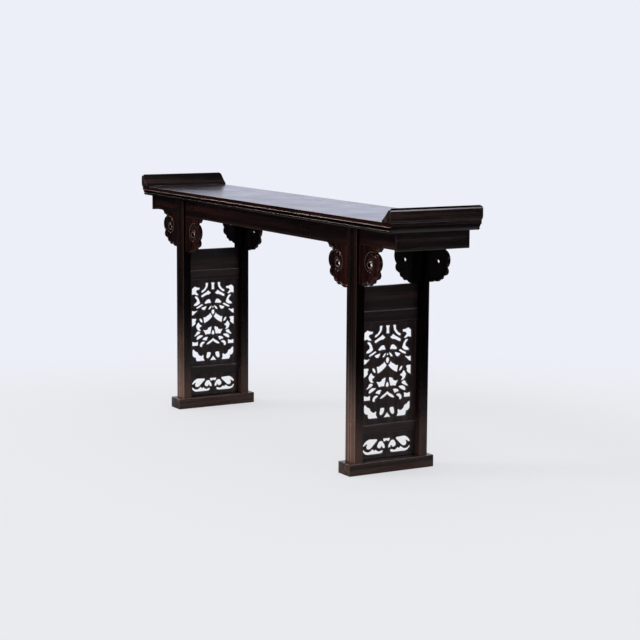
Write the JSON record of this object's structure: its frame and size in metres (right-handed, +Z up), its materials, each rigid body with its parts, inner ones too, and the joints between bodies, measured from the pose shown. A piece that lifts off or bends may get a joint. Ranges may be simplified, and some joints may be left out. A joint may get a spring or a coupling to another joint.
{
  "type": "altar table",
  "caption": "Long narrow altar table with everted ends, cloud spandrels, pierced carved side panels and shoe feet.",
  "frame": {"origin": "middle of the table on the floor", "axes": "+X along the length towards the right end, front faces -Y, +Z up"},
  "size_m": [1.858, 0.35, 0.9],
  "materials": {
    "polished_wood": "polished dark red-brown hardwood with fine grain",
    "dark_wood": "waxed dark hardwood",
    "carved_wood": "carved and waxed dark hardwood",
    "unpolished_wood": "planed hardwood on the hidden underside"
  },
  "bodies": {
    "root": {"apron_back": "dark_wood", "apron_front": "dark_wood", "apron_left": "dark_wood", "apron_right": "dark_wood", "batten_left": "unpolished_wood", "batten_middle": "unpolished_wood", "batten_right": "unpolished_wood", "flange_left": "polished_wood", "flange_right": "polished_wood", "frame_back": "polished_wood", "frame_front": "polished_wood", "frame_left": "polished_wood", "frame_right": "polished_wood", "leg_back_left": "dark_wood", "leg_back_right": "dark_wood", "leg_front_left": "dark_wood", "leg_front_right": "dark_wood", "low_carving_left": "carved_wood", "low_carving_right": "carved_wood", "lower_rail_left": "dark_wood", "lower_rail_right": "dark_wood", "shoe_left": "dark_wood", "shoe_right": "dark_wood", "side_board_left": "dark_wood", "side_board_right": "dark_wood", "spandrel_back_left_inner": "carved_wood", "spandrel_back_left_outer": "carved_wood", "spandrel_back_right_inner": "carved_wood", "spandrel_back_right_outer": "carved_wood", "spandrel_front_left_inner": "carved_wood", "spandrel_front_left_outer": "carved_wood", "spandrel_front_right_inner": "carved_wood", "spandrel_front_right_outer": "carved_wood", "tall_carving_left": "carved_wood", "tall_carving_right": "carved_wood", "top_panel": "polished_wood", "upper_rail_left": "dark_wood", "upper_rail_right": "dark_wood"}
  },
  "joints": []
}
